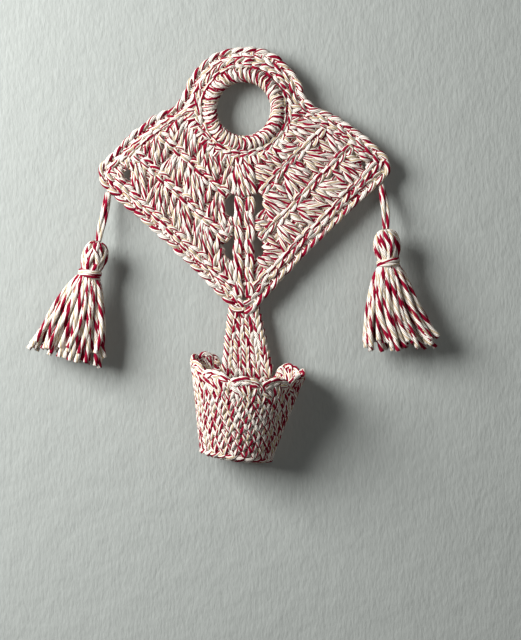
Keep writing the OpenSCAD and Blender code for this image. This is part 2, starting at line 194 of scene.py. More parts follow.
class Shader:
    """A material's node tree, with one method that adds nodes."""

    def __init__(self, name: str) -> None:
        """Starts an empty node material.

        Args:
            name: The material's name.
        """
        self.material = bpy.data.materials.new(name)
        self.material.use_nodes = True
        self.tree = self.material.node_tree
        self.tree.nodes.clear()

    def node(self, kind: str, settings: dict[str, object], inputs: dict[object, object]) -> list[Socket]:
        """Adds a node, sets it up and feeds its sockets.

        Args:
            kind: The node's type, without its prefix.
            settings: Its settings by name.
            inputs: Values or sockets by the input's name or number.

        Returns:
            The node's outputs.
        """
        made = self.tree.nodes.new("ShaderNode" + kind)
        for key, value in settings.items():
            setattr(made, key, value)
        for key, value in inputs.items():
            if isinstance(value, Socket):
                self.tree.links.new(value.link, made.inputs[key])
            else:
                made.inputs[key].default_value = value
        return [Socket(self, output) for output in made.outputs]

    def bands(self, stops: list[tuple[float, Colour]], place: Socket) -> Socket:
        """Picks one of several flat colours.

        Args:
            stops: Where each colour starts, from 0 to 1, and the colour.
            place: The value that picks it.

        Returns:
            The picked colour.
        """
        picked = self.node("ValToRGB", {}, {0: place})[0]
        ramp = picked.link.node.color_ramp
        ramp.interpolation = "CONSTANT"
        while len(ramp.elements) < len(stops):
            ramp.elements.new(1.0)
        for element, (start, colour) in zip(ramp.elements, stops):
            element.position = start
            element.color = colour
        return picked

    def mix(self, share: Socket, first: object, second: object) -> Socket:
        """Mixes two colours, with a share of the second one."""
        return self.node("Mix", {"data_type": "RGBA"}, {0: share, 6: first, 7: second})[2]

    def noise(self, coords: Socket, scale: float, detail: float = 2.0) -> Socket:
        """Gives noise from 0 to 1 of that scale per metre."""
        return self.node("TexNoise", {}, {"Vector": coords, "Scale": scale, "Detail": detail})[0]

    def object_coords(self) -> Socket:
        """Gives the Object coordinates."""
        return self.node("TexCoord", {}, {})[3]

    def surface(self, colour: Socket, rough: object, height: Socket, strength: float, depth: float,
                gloss: float = 0.5) -> Socket:
        """Gives a surface with small bumps.

        Args:
            colour: Its colour.
            rough: Its roughness.
            height: The height that the bumps follow, from 0 to 1.
            strength: How much of the bumps shows.
            depth: Their depth, in metres.
            gloss: How strongly it mirrors.

        Returns:
            The surface.
        """
        bump = self.node("Bump", {}, {"Strength": strength, "Distance": depth, "Height": height})[0]
        inputs = {"Base Color": colour, "Roughness": rough, "Normal": bump, "Specular IOR Level": gloss}
        return self.node("BsdfPrincipled", {}, inputs)[0]

    def finish(self, surface: Socket) -> bpy.types.Material:
        """Ends the tree with a surface and gives the material."""
        self.node("OutputMaterial", {}, {"Surface": surface})
        return self.material


@dataclass(frozen=True)
class MarledYarn:
    """Soft cotton yarn twisted of cream, rose and straw plies."""

    name: str = "marled_cotton"
    cream: Colour = srgb(253, 246, 234)
    rose: Colour = srgb(150, 8, 46)
    straw: Colour = srgb(216, 194, 154)
    # painted shade: the colour that the furrows between plies are darkened towards
    painted_crease_shade: Colour = srgb(58, 12, 20)
    # painted shade: the near-black that deep strands and the ends of tucked strands are mixed towards
    painted_deep_shade: Colour = srgb(14, 4, 6)
    rose_plies: tuple[int, ...] = (0, 1, 5)
    straw_plies: tuple[int, ...] = (3,)
    tuck_shade_share: float = 0.98
    tuck_shade_fade: float = 2.4
    worn_share: float = 0.15
    worn_from: float = 0.7
    ragged: float = 0.05
    fibre_scale: float = 1500.0
    patch_scale: float = 90.0
    gloss: float = 0.06

    def ply_stops(self) -> list[tuple[float, Colour]]:
        """Gives the bands round the strand.

        Returns:
            One flat stop for each ply.
        """
        colours = {ply: self.rose for ply in self.rose_plies}
        colours.update({ply: self.straw for ply in self.straw_plies})
        return [(ply / PLIES, colours.get(ply, self.cream)) for ply in range(PLIES)]

    def material(self) -> bpy.types.Material:
        """Builds the material: plies round the strand, painted shade in the creases between them, fine
        fibres, and painted shade on deep strands and at the ends of tucked ones.

        Returns:
            The material, which reads a strand's layer and length from u and its turn from v.
        """
        shader = Shader(self.name)
        uv = shader.node("UVMap", {"uv_map": "UVMap"}, {})[0]
        along, turned = shader.node("SeparateXYZ", {}, {0: uv})[:2]
        coords = shader.object_coords()
        fibres = shader.noise(coords, self.fibre_scale, 3.0)
        patches = shader.noise(coords, self.patch_scale)
        around = (turned * PLIES + 0.5) * (1 / PLIES) + (fibres - 0.5) * self.ragged
        plies = shader.bands(self.ply_stops(), around.fraction())
        worn = shader.mix((patches > self.worn_from) * self.worn_share, plies, self.cream)
        # painted shade: each furrow between plies is mixed towards the crease shade colour
        furrow = 1 - ((turned * PLIES).fraction() * 2 - 1).size()
        shaded = shader.mix(furrow ** 2.0, worn, self.painted_crease_shade)
        # painted shade: deep strands are painted nearly black, and tucked strands darken towards their ends
        deep = along > Layer.DEEP.value
        tucked = (along > Layer.TUCKED.value) - deep
        ends = (along.fraction() * 2 - 1).size() ** self.tuck_shade_fade
        shaded_colour = shader.mix(deep + tucked * ends * self.tuck_shade_share, shaded, self.painted_deep_shade)
        height = fibres * 0.6 + (1 - furrow) * 0.4
        return shader.finish(shader.surface(shaded_colour, fibres * 0.2 + 0.75, height, 0.5, 0.4 * MM, self.gloss))


@dataclass(frozen=True)
class MouldedRing:
    """Smooth pale plastic of the hard ring inside the wrap."""

    name: str = "moulded_ring"
    colour: Colour = srgb(224, 219, 204)
    flow: Colour = srgb(205, 198, 182)
    flow_scale: float = 160.0

    def material(self) -> bpy.types.Material:
        """Builds the material.

        Returns:
            The material, with faint flow marks.
        """
        shader = Shader(self.name)
        marks = shader.noise(shader.object_coords(), self.flow_scale, 4.0)
        colour = shader.mix(marks, self.colour, self.flow)
        return shader.finish(shader.surface(colour, marks * 0.2 + 0.35, marks, 0.1, 0.2 * MM))


@dataclass(frozen=True)
class PaintedWall:
    """Pale painted plaster that the holder hangs on; only the camera sees it, and from the front."""

    name: str = "painted_plaster"
    paint: Colour = srgb(162, 166, 162)
    worn: Colour = srgb(152, 156, 152)
    draw: float = 0.35
    grain_scale: float = 480.0
    swell_scale: float = 60.0
    gloss: float = 0.2

    def material(self) -> bpy.types.Material:
        """Builds the material.

        Returns:
            The material, with the plaster's grain and open towards its back.
        """
        shader = Shader(self.name)
        coords = shader.object_coords()
        drawn = shader.node("VectorMath", {"operation": "MULTIPLY"}, {0: coords, 1: (1.0, 1.0, self.draw)})[0]
        grain = shader.noise(drawn, self.grain_scale, 4.0)
        height = grain + shader.noise(coords, self.swell_scale) * 2.0
        colour = shader.mix(grain, self.paint, self.worn)
        paint = shader.surface(colour, 0.9, height, 0.5, 0.8 * MM, self.gloss)
        clear = shader.node("BsdfTransparent", {}, {})[0]
        behind = shader.node("NewGeometry", {}, {})[6]
        seen = shader.node("LightPath", {}, {})[0] * (1 - behind)
        return shader.finish(shader.node("MixShader", {}, {0: seen, 1: clear, 2: paint})[0])


def smooth_route(points: list[Vector], per: int, closed: bool = False) -> list[Vector]:
    """Rounds a route with a Catmull-Rom curve through its points.

    Args:
        points: The points that the curve passes through.
        per: Steps between two points.
        closed: Whether the route ends where it starts.

    Returns:
        The finer route.
    """
    count = len(points)

    def at(index: int) -> Vector:
        """Gives a point, wrapped round on a closed route and held at the ends of an open one."""
        return points[index % count] if closed else points[min(max(index, 0), count - 1)]

    route = []
    for span in range(count if closed else count - 1):
        a, b, c, d = (at(span + step) for step in (-1, 0, 1, 2))
        for t in shares(per)[:-1]:
            route.append(0.5 * (2 * b + (c - a) * t + (2 * a - 5 * b + 4 * c - d) * t * t
                                + (3 * b - a - 3 * c + d) * t ** 3))
    return route if closed else route + [points[-1]]


class Skein:
    """Strands of yarn that are spun into the piece in the place of one node."""

    def __init__(self, node: str, seed: int, lay: float = 24.0, groove: float = 0.14) -> None:
        """Starts an empty skein.

        Args:
            node: The node whose place it takes.
            seed: Seed of the turn at which each strand starts.
            lay: Length in which the plies turn once round the strand, in millimetres.
            groove: Depth of the furrow between plies, as a share of the radius; 0 for a smooth strand.
        """
        self.node = node
        self.name = node + "_yarn"
        self.random = random.Random(seed)
        self.curve = bpy.data.curves.new(self.name, "CURVE")
        self.curve.dimensions = "3D"
        self.groove = groove
        self.lay = lay

    def sway(self, reach: float) -> float:
        """Draws a number up to reach to either side of 0."""
        return self.random.uniform(-reach, reach)

    def strand(self, points: list[Vector], radius: float, per: int = 3, closed: bool = False,
               flare: float = 1.0, layer: Layer = Layer.PLAIN) -> None:
        """Lays one strand.

        Args:
            points: Its route, in millimetres.
            radius: Its radius, in millimetres.
            per: Steps between two points of the route.
            closed: Whether it runs round into itself.
            flare: Radius at its far end, as a share of the radius, reached over its last fifth.
            layer: How it lies in the work.
        """
        route = smooth_route(points, per, closed)
        spline = self.curve.splines.new("POLY")
        spline.points.add(len(route) - 1)
        spline.use_cyclic_u = closed
        spline.material_index = layer.value
        start = self.random.uniform(0, TURN)
        gone = [0.0, *accumulate((b - a).length for a, b in zip(route, route[1:]))]
        total = gone[-1] or 1.0
        turns = max(1, round(total / self.lay)) if closed else total / self.lay
        fifths = [max(0.0, run / total - 0.8) * 5 for run in gone]
        widths = [radius * MM * (1 + (flare - 1) * fifth) for fifth in fifths]
        places = [number for point in route for number in (*(value * MM for value in point), 1.0)]
        spline.points.foreach_set("co", places)
        spline.points.foreach_set("tilt", [start - TURN * turns * run / total for run in gone])
        spline.points.foreach_set("radius", widths)

    def profile(self) -> bpy.types.Object:
        """Draws the strand's section.

        Returns:
            A ring that dips between two plies.
        """
        curve = bpy.data.curves.new("ply_profile", "CURVE")
        curve.dimensions = "2D"
        ring = curve.splines.new("POLY")
        sides = 2 * PLIES if self.groove else PLIES
        ring.points.add(sides - 1)
        ring.use_cyclic_u = True
        for index, point in enumerate(ring.points):
            reach = 1.0 - self.groove * (index % 2)
            angle = TURN * index / sides
            point.co = (reach * math.cos(angle), reach * math.sin(angle), 0, 1)
        return put("ply_profile", curve)

    def spin(self) -> bpy.types.Object:
        """Spins the strands into one closed mesh with the plies standing proud.

        Returns:
            The finished piece, with its place in its mesh and each strand's layer in its u.
        """
        form = self.profile()
        line = put(self.name, self.curve)
        self.curve.bevel_mode = "OBJECT"
        self.curve.bevel_object = form
        self.curve.use_fill_caps = True
        bpy.context.view_layer.update()
        seen = line.evaluated_get(bpy.context.evaluated_depsgraph_get())
        mesh = bpy.data.meshes.new_from_object(seen)
        bpy.data.objects.remove(line)
        bpy.data.objects.remove(form)
        shell = bmesh.new()
        shell.from_mesh(mesh)
        bmesh.ops.remove_doubles(shell, verts=shell.verts, dist=1e-7)
        bmesh.ops.recalc_face_normals(shell, faces=shell.faces)
        uv = shell.loops.layers.uv.active
        for face in shell.faces:
            face.smooth = True
            for loop in face.loops:
                loop[uv].uv.x = face.material_index + 0.01 + 0.98 * loop[uv].uv.x
            face.material_index = 0
        shell.to_mesh(mesh)
        shell.free()
        mesh.name = self.name
        return put(self.name, mesh)

    def dress(self, finish: bpy.types.Material, body: Body = Body.PANEL, slot: str = YARN_SLOT,
              *others: str) -> bpy.types.Object:
        """Spins the skein and puts it in the place of its node.

        Args:
            finish: The yarn's material.
            body: The body that it rides on.
            slot: Not used.
            others: Further nodes that it stands for.

        Returns:
            The finished piece.
        """
        piece = self.spin()
        piece.data.materials.append(finish)
        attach(piece, body.value)
        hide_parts(self.node, *others)
        log.info("%s: %d faces", piece.name, len(piece.data.polygons))
        return piece


@dataclass(frozen=True)
class Station:
    """A place on a course, with its three directions."""

    place: Vector
    along: Vector
    across: Vector
    out: Vector

    def at(self, s: float, u: float, h: float) -> Vector:
        """Gives the point s along, u across and h out from here."""
        return self.place + self.along * s + self.across * u + self.out * h


class Course:
    """A line of stitches over a surface."""

    def __init__(self, points: list[Vector], outs: list[Vector], closed: bool = False) -> None:
        """Sets a course through points.

        Args:
            points: Points of the line, in millimetres.
            outs: The outward direction at each point.
            closed: Whether the course runs round into itself.
        """
        self.points = points + points[:1] if closed else points
        self.outs = outs + outs[:1] if closed else outs
        self.ends = [0.0, *accumulate((b - a).length for a, b in zip(self.points, self.points[1:]))]
        self.length = self.ends[-1]
        self.closed = closed

    def station(self, s: float) -> Station:
        """Gives the place at a distance along the course.

        Args:
            s: The distance; beyond the ends of an open course it is the nearer end.

        Returns:
            The place and its directions.
        """
        if self.closed:
            s %= self.length
        s = min(max(s, 0.0), self.length)
        index = bisect_left(self.ends, s, 1, len(self.ends) - 1) - 1
        span = self.ends[index + 1] - self.ends[index] or 1.0
        t = (s - self.ends[index]) / span
        place = self.points[index].lerp(self.points[index + 1], t)
        out = self.outs[index].lerp(self.outs[index + 1], t).normalized()
        along = (self.points[index + 1] - self.points[index]).normalized()
        return Station(place, along, along.cross(out).normalized(), out)


@dataclass(frozen=True, kw_only=True)
class Stitch:
    """Sizes that every stitch has: its strand, the heights between which it loops, and how it strays."""

    radius: float
    low: float
    high: float
    wander: float

    def lift(self, share: float) -> float:
        """Gives the height of a point whose share of the way up is known."""
        return self.low + (self.high - self.low) * share


@dataclass(frozen=True, kw_only=True)
class ChainStitch(Stitch):
    """A chain of loops, each drawn up through the one before."""

    pitch: float
    spread: float
    wander: float = 0.25
    bias: float = 0.0

    ROUTE = ((-0.42, 0.05, 0.0), (-0.15, 0.30, 0.35), (0.15, 0.62, 0.85), (0.5, 0.95, 1.0),
             (0.85, 1.0, 0.8), (1.1, 0.7, 0.3), (1.25, 0.25, 0.0))

    def work(self, skein: Skein, course: Course) -> None:
        """Works the chain along a course.

        Args:
            skein: The skein that takes the strands.
            course: The line that the chain follows.
        """
        links = max(1, round(course.length / self.pitch))
        pitch = course.length / links
        steps = self.ROUTE + tuple((s, -u, h) for s, u, h in reversed(self.ROUTE))
        for link in range(links):
            twist = skein.sway(self.wander)
            swell = skein.random.uniform(1 - 0.3 * self.wander, 1 + 0.3 * self.wander)
            points = []
            for s, u, h in steps:
                side = (u + self.bias * (1 - abs(u))) * self.spread * swell
                points.append(course.station((link + s) * pitch).at(0.0, side + twist * h, self.lift(h)))
            radius = self.radius * skein.random.uniform(0.95, 1.05)
            skein.strand(points, radius, per=2, layer=Layer.TUCKED)


@dataclass(frozen=True, kw_only=True)
class VeeStitch(Stitch):
    """Plain stitches side by side, each a V whose arms tuck under the course above."""

    width: float
    height: float
    wander: float = 0.3
    per: int = 2

    ROUTE = ((-0.40, 0.66, 0.0), (-0.36, 0.40, 0.7), (-0.24, 0.0, 1.0), (-0.09, -0.40, 0.75),
             (0.0, -0.58, 0.2))

    def work(self, skein: Skein, course: Course, shift: float = 0.0) -> None:
        """Works a course of Vs.

        Args:
            skein: The skein that takes the strands.
            course: The middle line of the Vs.
            shift: Sideways shift of the first stitch, as a share of its width.
        """
        count = max(1, round(course.length / self.width))
        width = course.length / count
        steps = self.ROUTE + tuple((-s, u, h) for s, u, h in reversed(self.ROUTE[:-1]))
        for stitch in range(count):
            lean = skein.sway(self.wander)
            middle = (stitch + 0.5 + shift) * width
            points = [course.station(middle + s * width).at(lean * u, -u * self.height, self.lift(h))
                      for s, u, h in steps]
            radius = self.radius * skein.random.uniform(0.94, 1.06)
            skein.strand(points, radius, per=self.per, layer=Layer.TUCKED)


@dataclass(frozen=True)
class Post:
    """A tall stitch: two strands that twist round each other and puff out from the fabric."""

    radius: float = 1.5
    spread: float = 1.05
    turns: float = 0.7
    puff: float = 1.0
    sunk: float = 0.6

    def work(self, skein: Skein, foot: Vector, head: Vector, out: Vector) -> None:
        """Works one post.

        Args:
            skein: The skein that takes its strands.
            foot: Where it springs from.
            head: Where it ends.
            out: The outward direction.
        """
        across = (head - foot).normalized().cross(out).normalized()
        start = skein.random.uniform(0, TURN)
        turns = self.turns * skein.random.uniform(0.8, 1.25)
        for half in (0.0, math.pi):
            points = []
            for t in shares(6):
                angle = start + half + TURN * turns * t
                gather = 0.55 + 0.45 * math.sin(math.pi * t)
                centre = foot.lerp(head, t) + out * (self.puff * math.sin(math.pi * t) - self.sunk)
                side = across * math.cos(angle) + out * math.sin(angle) * 0.8
                points.append(centre + side * self.spread * gather)
            radius = self.radius * skein.random.uniform(0.94, 1.06)
            skein.strand(points, radius, per=2, layer=Layer.TUCKED)


@dataclass(frozen=True)
class Flank:
    """Plane layout of one side of the panel; x runs outwards from the hole."""

    side: int
    tip: Vector
    tip_r: float
    collar_r: float = 40.5
    shoulder_angle: float = 8.0
    bottom_drop: float = 123.0
    bottom_r: float = 10.0
    bow: float = 3.0
    draw: float = 2.0
    skew: float = 0.0
    hole_closed: float = 0.5
    steps: int = 12

    @property
    def bottom(self) -> Vector:
        """Gives the middle of the bottom point."""
        return Vector((0.0, -self.bottom_drop))

    @property
    def shoulder(self) -> Vector:
        """Gives the place where the upper edge leaves the collar."""
        return heading(self.shoulder_angle) * self.collar_r

    @property
    def up_angle(self) -> float:
        """Gives the angle of the upper edge's outward normal."""
        v = self.shoulder - self.tip
        return angle_of(v) - math.degrees(math.acos(self.tip_r / v.length))

    @property
    def low_angle(self) -> float:
        """Gives the angle of the lower edge's outward normal."""
        v = self.tip - self.bottom
        return angle_of(v) - math.degrees(math.acos((self.bottom_r - self.tip_r) / v.length))

    def junction(self, inset: float) -> Vector:
        """Gives the start of the upper edge.

        Args:
            inset: How far the edge is drawn in.

        Returns:
            The plane point.
        """
        n = heading(self.up_angle)
        out = self.shoulder.dot(n) - inset
        return n * out + Vector((n.y, -n.x)) * math.sqrt((self.collar_r - inset) ** 2 - out * out)

    def lower(self, run: float, inset: float) -> Vector:
        """Gives the plane point run along the lower edge and inset in from it."""
        n = heading(self.low_angle)
        return self.tip + n * (self.tip_r - inset) + Vector((n.y, -n.x)) * run

    def edge(self, inset: float) -> list[Vector]:
        """Gives the outline from the shoulder to the bottom point.

        Args:
            inset: How far it is drawn in.

        Returns:
            The plane points.
        """
        up, low = heading(self.up_angle), heading(self.low_angle)
        tip_r, bottom_r = self.tip_r - inset, self.bottom_r - inset
        start, meet = self.junction(inset), self.tip + up * tip_r
        leave, land = self.tip + low * tip_r, self.bottom + low * bottom_r
        path = [start.lerp(meet, t) + up * self.bow * math.sin(math.pi * t) for t in shares(self.steps)[:-1]]
        path += [self.tip + heading(self.up_angle + (self.low_angle - self.up_angle) * t) * tip_r
                 for t in shares(self.steps)[:-1]]
        path += [leave.lerp(land, t) - low * self.draw * math.sin(math.pi * t)
                 for t in shares(2 * self.steps)[:-1]]
        return path + [self.bottom + heading(self.low_angle - (90 + self.low_angle) * t) * bottom_r
                       for t in shares(self.steps // 2)]

    def place(self, point: Vector, height: float) -> Vector:
        """Gives a plane point's place in the frame, at a height over the wall."""
        return Vector((self.side * point.x, -height, point.y))


@dataclass
class Panel:
    """The kite of shell stitches, its edge, its spine and its neck."""

    finish: bpy.types.Material
    edge_w: float = 9.0
    wrap_r: float = 22.2
    wrap_height: float = 5.0
    wraps: int = 47
    wrap_half: Pair = (3.75, 3.5)
    under_half: Pair = (2.9, 2.7)
    knot_r: float = 29.3
    knot_cores: tuple[float, ...] = (28.4, 30.9, 33.4, 35.9)
    collar_in_r: float = 31.5
    collar_course_r: float = 33.9
    rows: int = 3
    row_h: float = 20.5
    row_shift: float = 0.35
    shell_pitch: float = 20.0
    shell_posts: int = 4
    foot_gap: float = 1.9
    head_gap: float = 5.1
    filling_lines: int = 6
    filling_step: float = 5.0
    least_post: float = 5.0
    least_run: float = 4.0
    spine_w: float = 16.0
    spine_lines: int = 26
    spine_step: float = 3.3
    pillar_x: float = 3.7
    pillar_end: float = -121.0
    eyelet: Pair = (6.0, 12.0)
    tip_hole: Pair = (5.0, 9.0)
    middle: float = 3.8
    eyelet_gap: float = 1.3
    spine_lap: float = 1.5
    edge_gap: float = 1.2
    collar_gap: float = 1.5
    shoulder_reach: float = 11.0
    neck_rows: int = 9
    neck_top: float = -130.5
    neck_h: float = 42.0
    neck_half_w: Pair = (9.0, 16.5)
    flanks: dict[int, Flank] = field(default_factory=lambda: {
        -1: Flank(-1, Vector((80.0, -42.0)), 14.0, skew=0.42),
        1: Flank(1, Vector((83.0, -37.0)), 12.0, hole_closed=1.4),
    })

    OUT = Vector((0.0, -1.0, 0.0))

    def course(self, points: list[Vector], face: Face = Face.FRONT, closed: bool = False) -> Course:
        """Gives a course over one face of the panel."""
        return Course(points, [self.OUT * face.value] * len(points), closed)

    def both(self, stitch: Stitch, skein: Skein, points: list[Vector], closed: bool = False) -> None:
        """Works a stitch along a line, on the front and then on the back."""
        for face in Face:
            stitch.work(skein, self.course(points, face, closed))

    def laid(self, flank: Flank, points: list[Vector]) -> list[Vector]:
        """Gives the places of a flank's plane points in the fabric's middle."""
        return [flank.place(point, self.middle) for point in points]

    def arc(self, radius: float, start: float, end: float) -> list[Vector]:
        """Gives points in the fabric's middle on a circle round the hole, between two angles in degrees."""
        return [lifted(heading(start + (end - start) * t) * radius, self.middle) for t in shares(ROUND_STEPS)]

    def row_depth(self, row: int) -> float:
        """Gives how far a row's outer line lies from the lower edge."""
        return self.edge_w + (self.rows - row) * self.row_h

    def line_z(self, flank: Flank, row: int) -> float:
        """Gives the height at which a row's outer line meets the spine."""
        n = heading(flank.low_angle)
        return (flank.tip.dot(n) + flank.tip_r - self.row_depth(row) - n.x * self.spine_w / 2) / n.y

    def outside_oval(self, point: Vector, centre: Vector, size: Pair, margin: float) -> bool:
        """Says whether a plane point keeps clear of an upright oval by a margin."""
        x, y = ((point[axis] - centre[axis]) / (size[axis] / 2 + margin) for axis in (0, 1))
        return x * x + y * y > 1

    def holds(self, flank: Flank, point: Vector, margin: float) -> bool:
        """Says whether a plane point lies in the field of shells.

        Args:
            flank: The side that it is on.
            point: The plane point.
            margin: How far it has to keep from the spine, the edge, the collar and the holes.

        Returns:
            Whether a strand may pass there.
        """
        reach = (flank.shoulder - point).dot(heading(flank.up_angle)) + 0.6 * flank.bow
        if (point.x < self.spine_w / 2 - self.spine_lap + margin
                or reach < self.edge_w + self.edge_gap + margin
                or point.length < self.collar_in_r + self.collar_gap + margin):
            return False
        hole = flank.tip - Vector((self.tip_hole[0], 0.0))
        if not self.outside_oval(point, hole, self.tip_hole, margin - flank.hole_closed):
            return False
        middles = [Vector((self.spine_w / 2 + 0.5, self.line_z(flank, row) - 1.0))
                   for row in range(1, self.rows)]
        return all(self.outside_oval(point, middle, self.eyelet, margin + self.eyelet_gap)
                   for middle in middles)

    def clip(self, flank: Flank, foot: Vector, head: Vector, margin: float) -> list[Vector]:
        """Cuts a post back to its longest stretch in the field.

        Args:
            flank: The side that it is on.
            foot: Where it springs from.
            head: Where it ends.
            margin: How far it keeps from the field's bounds.

        Returns:
            The foot and head of that stretch, or nothing if too little is left.
        """
        steps = 12
        held = [self.holds(flank, foot.lerp(head, t), margin) for t in shares(steps)]
        begin, after = max(stretches(held), key=lambda ends: ends[1] - ends[0], default=(0, 0))
        if (after - 1 - begin) / steps * (head - foot).length < self.least_post:
            return []
        return [foot.lerp(head, step / steps) for step in (begin, after - 1)]

    def runs(self, flank: Flank, inset: float, margin: float) -> list[Pair]:
        """Finds where a line along the lower edge lies in the field.

        Args:
            flank: The side that it is on.
            inset: How far it lies in from the edge.
            margin: How far it keeps from the field's bounds.

        Returns:
            The ends of each stretch, as distances along the edge.
        """
        places = [step * 0.6 for step in range(-30, 261)]
        held = [self.holds(flank, flank.lower(run, inset), margin) for run in places]
        found = [(places[begin], places[after]) for begin, after in stretches(held)]
        return [(begin, end) for begin, end in found if end - begin > self.least_run]

    def work_row(self, side: int, row: int) -> None:
        """Works one row of shells on one side.

        Args:
            side: -1 for the left and 1 for the right.
            row: 1 beside the ring to 3 beside the edge.
        """
        skein = Skein(f"{side_name(side)}_shell_row_{row}", 100 * row + side)
        flank = self.flanks[side]
        self.work_filling(skein, flank, row)
        for face in Face:
            self.work_shells(skein, flank, row, face)
            self.work_tops(skein, flank, row, face)
        skein.dress(self.finish)

    def work_filling(self, skein: Skein, flank: Flank, row: int) -> None:
        """Lays the strands that run along a row under its posts.

        Args:
            skein: The skein that takes them.
            flank: The side that the row is on.
            row: The row's number.
        """
        for line in range(self.filling_lines):
            inset = self.row_depth(row) + 1.4 + line * self.row_h / self.filling_lines
            for begin, end in self.runs(flank, inset, margin=0.3):
                points = []
                for t in shares(max(3, round((end - begin) / self.filling_step))):
                    place = flank.lower(begin + (end - begin) * t, inset + skein.sway(0.7))
                    points.append(flank.place(place, self.middle + skein.sway(0.4)))
                skein.strand(points, radius=1.5, layer=Layer.DEEP)

    def work_shells(self, skein: Skein, flank: Flank, row: int, face: Face) -> None:
        """Works a row's fans of posts on one face, with a short post between two fans.

        Args:
            skein: The skein that takes them.
            flank: The side that the row is on.
            row: The row's number.
            face: The face that they stand on.
        """
        front = face is Face.FRONT
        rise, lag = (1.7, 0.1) if front else (-1.3, 0.35)
        height = self.middle + rise
        first = self.row_shift * (row - 2) + lag
        depth = self.row_depth(row)
        root = depth + self.row_h
        half = flank.skew * self.row_h / 2
        for shell in range(-1, 7):
            run = (shell + first) * self.shell_pitch + skein.sway(1.0)
            between = run + self.shell_pitch / 2
            slant = half + skein.sway(2.5)
            for index in range(self.shell_posts + 1):
                k = index - (self.shell_posts - 1) / 2
                ends = ((run + self.foot_gap * k - slant, root - 1.0),
                        (run + self.head_gap * k + slant, depth + 2.6))
                if index == self.shell_posts:
                    ends = ((between - half, root + 0.8),
                            (between + 0.4 * half, depth + self.row_h * 0.38))
                foot, head = [flank.lower(s + skein.sway(0.7), inset + skein.sway(1.0)) for s, inset in ends]
                kept = [flank.place(end, height) for end in self.clip(flank, foot, head, margin=0.6)]
                if kept:
                    radius = skein.random.uniform(1.3, 1.45)
                    puff = skein.random.uniform(0.5, 1.6) if front else 0.4
                    Post(radius=radius, puff=puff).work(skein, *kept, self.OUT * face.value)

    def work_tops(self, skein: Skein, flank: Flank, row: int, face: Face) -> None:
        """Works the chain of loops along the heads of a row's posts.

        Args:
            skein: The skein that takes it.
            flank: The side that the row is on.
            row: The row's number.
            face: The face that it lies on.
        """
        high = 2.4 if face is Face.FRONT else 1.6
        chain = ChainStitch(pitch=6.6, spread=2.0, radius=1.55, low=-1.2, high=high, wander=1.0)
        inset = self.row_depth(row) + 1.2
        for begin, end in self.runs(flank, inset, margin=0.2):
            line = [flank.lower(begin + (end - begin) * t, inset) for t in shares(24)]
            chain.work(skein, self.course(self.laid(flank, line), face))

    def braid(self, skein: Skein, points: list[Vector]) -> None:
        """Braids along a line of the edge, on the face and on the back.

        Args:
            skein: The skein that takes the strands.
            points: The line, in the fabric's middle.
        """
        chain = ChainStitch(pitch=7.4, spread=2.95, radius=1.75, low=-1.2, high=1.5, wander=0.4, bias=-0.3)
        back = ChainStitch(pitch=7.2, spread=2.8, radius=1.7, low=-0.4, high=1.9, bias=0.3)
        core = self.course(points)
        chain.work(skein, core)
        for side in (-1.5, 1.5):
            inner = [core.station(core.length * t).at(0, side, 0.3) for t in shares(60)]
            skein.strand(inner, radius=1.5, per=1, layer=Layer.DEEP)
        back.work(skein, self.course(points, Face.BACK))

    def shoulder(self, flank: Flank) -> list[Vector]:
        """Gives the eased bend of the braid from the collar's arc to the upper edge.

        Args:
            flank: The side that it is on.

        Returns:
            The plane points.
        """
        corner = flank.junction(self.edge_w / 2)
        turn = math.degrees(self.shoulder_reach / corner.length)
        start = heading(angle_of(corner) + turn) * corner.length
        n = heading(flank.up_angle)
        end = corner + Vector((n.y, -n.x)) * self.shoulder_reach
        return [start.lerp(corner, t).lerp(corner.lerp(end, t), t) for t in shares(8)]

    def work_edge(self, side: int) -> None:
        """Braids one side's edge from the shoulder to the bottom point.

        Args:
            side: -1 for the left and 1 for the right.
        """
        flank = self.flanks[side]
        skein = Skein(side_name(side) + "_edge_braid", 7 * side + 50)
        corner = flank.junction(self.edge_w / 2)
        line = [p for p in flank.edge(self.edge_w / 2) if (p - corner).length > self.shoulder_reach]
        self.braid(skein, self.laid(flank, self.shoulder(flank)[4:] + line)[::side])
        small = ChainStitch(pitch=5.6, spread=1.6, radius=1.35, low=-1.0, high=2.1, wander=0.8)
        self.both(small, skein, self.laid(flank, flank.edge(self.edge_w + 1.6)[1:flank.steps]))
        skein.dress(self.finish)

    def work_wrap(self) -> None:
        """Wraps the ring: strands that run round it, and the turns of yarn over them."""
        skein = Skein("ring_wrap", 3)
        for t in shares(6)[:-1]:
            radius = self.wrap_r + self.under_half[0] * math.cos(TURN * t)
            height = self.wrap_height + self.under_half[1] * math.sin(TURN * t)
            under = [lifted(heading(90 - 360 * s) * radius, height) for s in shares(ROUND_STEPS)[:-1]]
            skein.strand(under, radius=1.2, per=1, closed=True, layer=Layer.DEEP)
        for wrap in range(self.wraps):
            points = []
            for t in shares(12)[:-1]:
                slant = 360 / self.wraps * (0.6 * math.sin(TURN * t) + wrap) + skein.sway(1.2)
                place = heading(slant) * (self.wrap_r - self.wrap_half[0] * math.cos(TURN * t))
                points.append(lifted(place, self.wrap_height + self.wrap_half[1] * math.sin(TURN * t)))
            skein.strand(points, skein.random.uniform(1.3, 1.5), per=2, closed=True)
        skein.dress(self.finish)

    def collar_ends(self) -> Pair:
        """Gives the angles at which the collar meets the left and the right upper edge."""
        left, right = (angle_of(flank.junction(self.edge_w / 2)) for flank in self.flanks.values())
        return 180 - left, right

